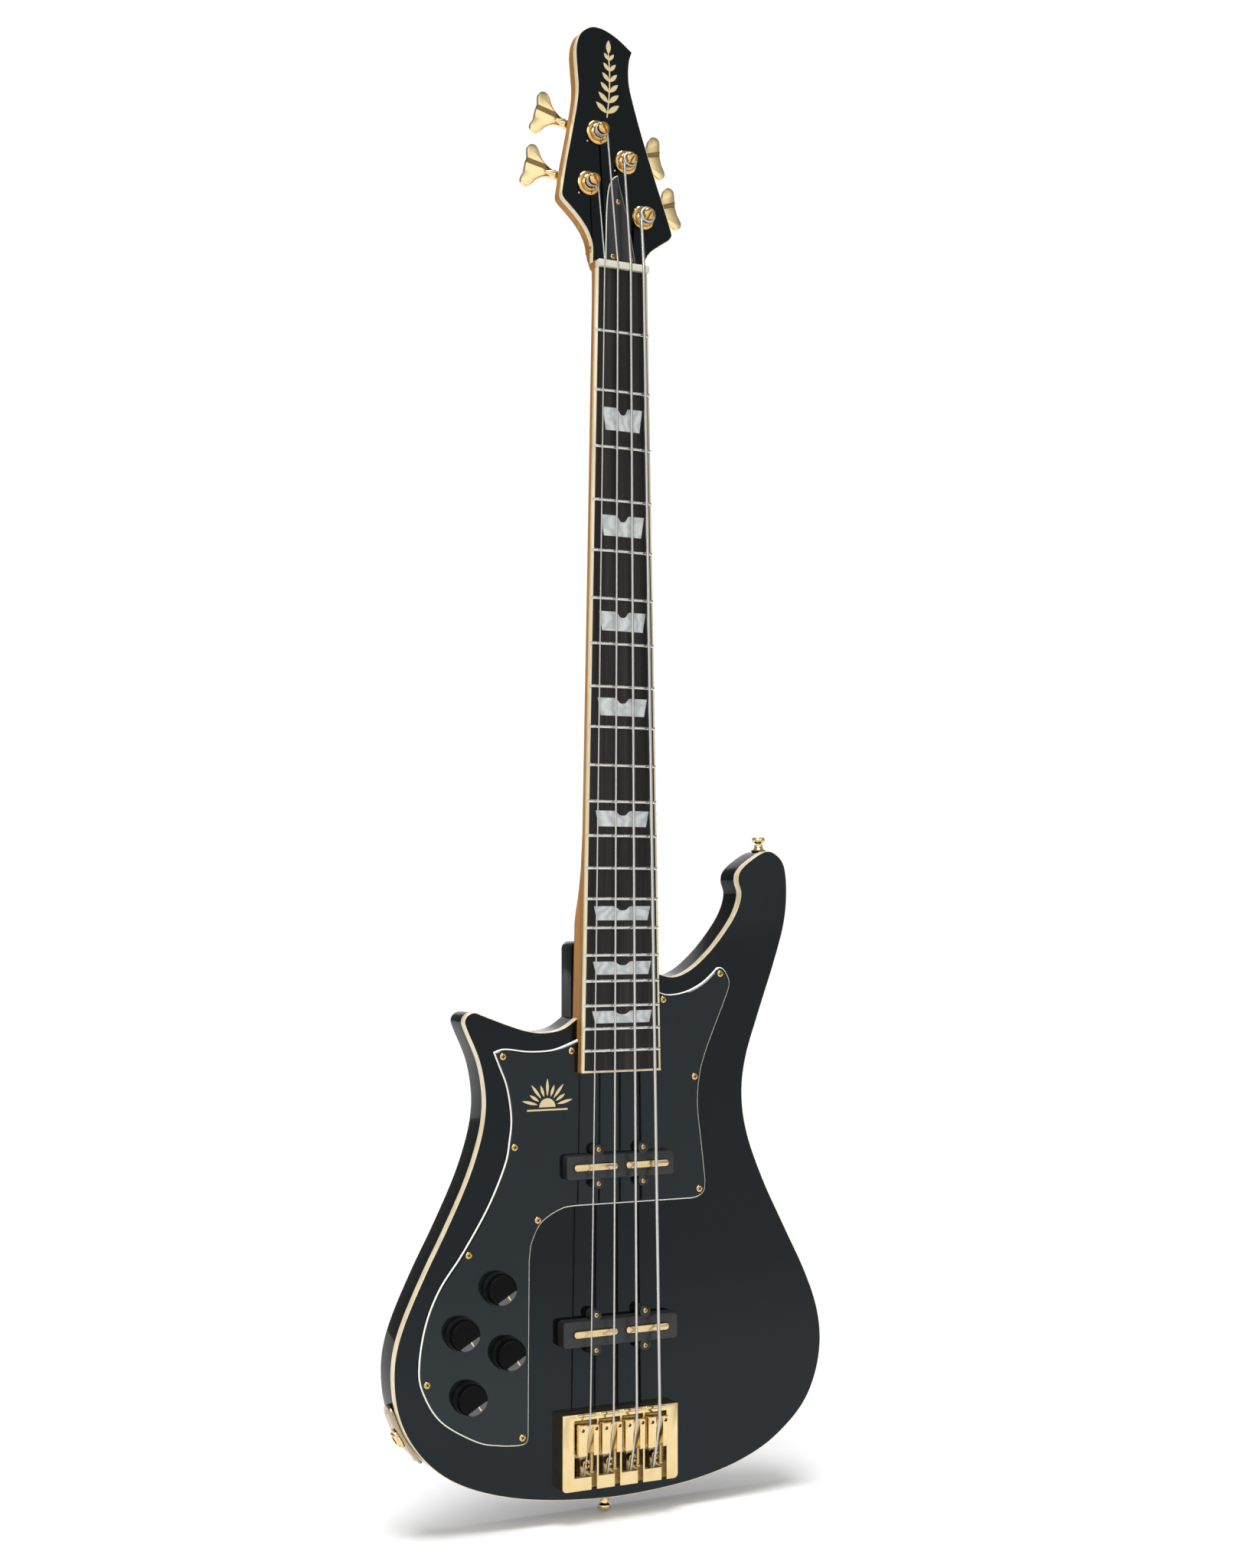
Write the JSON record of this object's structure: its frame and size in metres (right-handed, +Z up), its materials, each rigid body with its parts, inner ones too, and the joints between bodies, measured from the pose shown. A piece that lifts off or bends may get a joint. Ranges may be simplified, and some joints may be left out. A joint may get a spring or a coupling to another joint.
{
  "type": "electric bass guitar",
  "caption": "Left-handed solid-body electric bass with bolt-on neck, geared tuners, soapbar pickups, rotary controls and adjustable gold bridge saddles.",
  "frame": {"origin": "centre of the flat outer face of the strap button at the tail end, on the centre line and 19 mm behind the front face of the body", "axes": "+Z up along the neck to the headstock, +X to the right seen from the front, +Y to the back; the strings and fretboard face -Y"},
  "size_m": [0.3536, 0.0522, 1.1257],
  "materials": {
    "black_gloss": "polished black lacquer and laminate",
    "cream_binding": "polished cream plastic",
    "neck_wood": "satin amber lacquer",
    "dark_wood": "open-grained oiled",
    "bone": "polished bone",
    "black_satin": "satin black",
    "gold": "polished gold plate",
    "steel": "nickel plated",
    "string_steel": "round-wound nickel"
  },
  "bodies": {
    "instrument": {"body": "black_gloss", "body_binding": "cream_binding", "pickguard": "black_gloss", "neck": "neck_wood", "headstock_face": "black_gloss", "headstock_binding": "cream_binding", "fretboard": "dark_wood", "fretboard_binding": "cream_binding", "nut": "bone", "truss_rod": "steel", "truss_rod_cover": "black_satin", "neck_plate": "gold", "bridge_plate": "gold", "jack_plate": "gold", "output_jack": "gold", "end_strap_button": "gold", "horn_strap_button": "gold", "neck_pickup": "black_satin", "bridge_pickup": "black_satin", "neck_pickup_blade_left": "gold", "neck_pickup_blade_right": "gold", "bridge_pickup_blade_left": "gold", "bridge_pickup_blade_right": "gold", "pot_1": "steel", "pot_2": "steel", "pot_3": "steel", "pot_4": "steel", "tuner_housing_g": "gold", "tuner_bushing_g": "gold", "string_g": "string_steel", "tuner_housing_d": "gold", "tuner_bushing_d": "gold", "string_d": "string_steel", "tuner_housing_a": "gold", "tuner_bushing_a": "gold", "string_a": "string_steel", "tuner_housing_e": "gold", "tuner_bushing_e": "gold", "string_e": "string_steel"},
    "knob_1": {"knob_1": "black_satin"},
    "knob_2": {"knob_2": "black_satin"},
    "knob_3": {"knob_3": "black_satin"},
    "knob_4": {"knob_4": "black_satin"},
    "key_g": {"tuner_key_g": "gold"},
    "post_g": {"tuner_post_g": "gold"},
    "key_d": {"tuner_key_d": "gold"},
    "post_d": {"tuner_post_d": "gold"},
    "key_a": {"tuner_key_a": "gold"},
    "post_a": {"tuner_post_a": "gold"},
    "key_e": {"tuner_key_e": "gold"},
    "post_e": {"tuner_post_e": "gold"},
    "saddle_g": {"saddle_g": "gold"},
    "screw_g": {"intonation_screw_g": "gold"},
    "saddle_d": {"saddle_d": "gold"},
    "screw_d": {"intonation_screw_d": "gold"},
    "saddle_a": {"saddle_a": "gold"},
    "screw_a": {"intonation_screw_a": "gold"},
    "saddle_e": {"saddle_e": "gold"},
    "screw_e": {"intonation_screw_e": "gold"}
  },
  "joints": [
    {"name": "knob_1_turn", "type": "hinge", "parent": "instrument", "child": "knob_1", "pos_m": [-0.0965, -0.03, 0.175], "axis": [0, 1, 0], "range_deg": [-300, 0]},
    {"name": "knob_2_turn", "type": "hinge", "parent": "instrument", "child": "knob_2", "pos_m": [-0.125, -0.03, 0.145], "axis": [0, 1, 0], "range_deg": [-300, 0]},
    {"name": "knob_3_turn", "type": "hinge", "parent": "instrument", "child": "knob_3", "pos_m": [-0.089, -0.03, 0.128], "axis": [0, 1, 0], "range_deg": [-300, 0]},
    {"name": "knob_4_turn", "type": "hinge", "parent": "instrument", "child": "knob_4", "pos_m": [-0.119, -0.03, 0.099], "axis": [0, 1, 0], "range_deg": [-300, 0]},
    {"name": "tuner_key_g_turn", "type": "hinge", "parent": "instrument", "child": "key_g", "pos_m": [-0.0432, 0.001, 1.01348], "axis": [-0.9816, 0, 0.1908], "continuous": true},
    {"name": "tuner_post_g_turn", "type": "hinge", "parent": "instrument", "child": "post_g", "pos_m": [-0.025, -0.02, 1.0023], "axis": [0, 1, 0], "continuous": true},
    {"name": "tuner_key_d_turn", "type": "hinge", "parent": "instrument", "child": "key_d", "pos_m": [-0.03509, 0.001, 1.05512], "axis": [-0.9703, 0, 0.2419], "continuous": true},
    {"name": "tuner_post_d_turn", "type": "hinge", "parent": "instrument", "child": "post_d", "pos_m": [-0.0175, -0.02, 1.043], "axis": [0, 1, 0], "continuous": true},
    {"name": "tuner_key_a_turn", "type": "hinge", "parent": "instrument", "child": "key_a", "pos_m": [0.0242, 0.001, 1.03546], "axis": [0.9724, 0, 0.2334], "continuous": true},
    {"name": "tuner_post_a_turn", "type": "hinge", "parent": "instrument", "child": "post_a", "pos_m": [0.0065, -0.02, 1.0235], "axis": [0, 1, 0], "continuous": true},
    {"name": "tuner_key_e_turn", "type": "hinge", "parent": "instrument", "child": "key_e", "pos_m": [0.03832, 0.001, 0.99547], "axis": [0.9537, 0, 0.3007], "continuous": true},
    {"name": "tuner_post_e_turn", "type": "hinge", "parent": "instrument", "child": "post_e", "pos_m": [0.0215, -0.02, 0.9823], "axis": [0, 1, 0], "continuous": true},
    {"name": "intonation_screw_g_turn", "type": "hinge", "parent": "instrument", "child": "screw_g", "pos_m": [-0.0227, -0.0252, 0.04], "axis": [0, 0, 1], "range_deg": [-1030, 1030]},
    {"name": "saddle_g_slide", "type": "slide", "parent": "instrument", "child": "saddle_g", "axis": [0, 0, 1], "range_m": [-0.002, 0.002]},
    {"name": "intonation_screw_d_turn", "type": "hinge", "parent": "instrument", "child": "screw_d", "pos_m": [-0.0037, -0.0252, 0.04], "axis": [0, 0, 1], "range_deg": [-1030, 1030]},
    {"name": "saddle_d_slide", "type": "slide", "parent": "instrument", "child": "saddle_d", "axis": [0, 0, 1], "range_m": [-0.002, 0.002]},
    {"name": "intonation_screw_a_turn", "type": "hinge", "parent": "instrument", "child": "screw_a", "pos_m": [0.0153, -0.0252, 0.04], "axis": [0, 0, 1], "range_deg": [-1030, 1030]},
    {"name": "saddle_a_slide", "type": "slide", "parent": "instrument", "child": "saddle_a", "axis": [0, 0, 1], "range_m": [-0.002, 0.002]},
    {"name": "intonation_screw_e_turn", "type": "hinge", "parent": "instrument", "child": "screw_e", "pos_m": [0.0343, -0.0252, 0.04], "axis": [0, 0, 1], "range_deg": [-1030, 1030]},
    {"name": "saddle_e_slide", "type": "slide", "parent": "instrument", "child": "saddle_e", "axis": [0, 0, 1], "range_m": [-0.002, 0.002]}
  ],
  "couplings": [
    {"joint": "tuner_post_g_turn", "follows": "tuner_key_g_turn", "ratio": 0.05},
    {"joint": "tuner_post_d_turn", "follows": "tuner_key_d_turn", "ratio": 0.05},
    {"joint": "tuner_post_a_turn", "follows": "tuner_key_a_turn", "ratio": 0.05},
    {"joint": "tuner_post_e_turn", "follows": "tuner_key_e_turn", "ratio": 0.05},
    {"joint": "intonation_screw_g_turn", "follows": "saddle_g_slide", "rad_per_m": 8976},
    {"joint": "intonation_screw_d_turn", "follows": "saddle_d_slide", "rad_per_m": 8976},
    {"joint": "intonation_screw_a_turn", "follows": "saddle_a_slide", "rad_per_m": 8976},
    {"joint": "intonation_screw_e_turn", "follows": "saddle_e_slide", "rad_per_m": 8976}
  ]
}
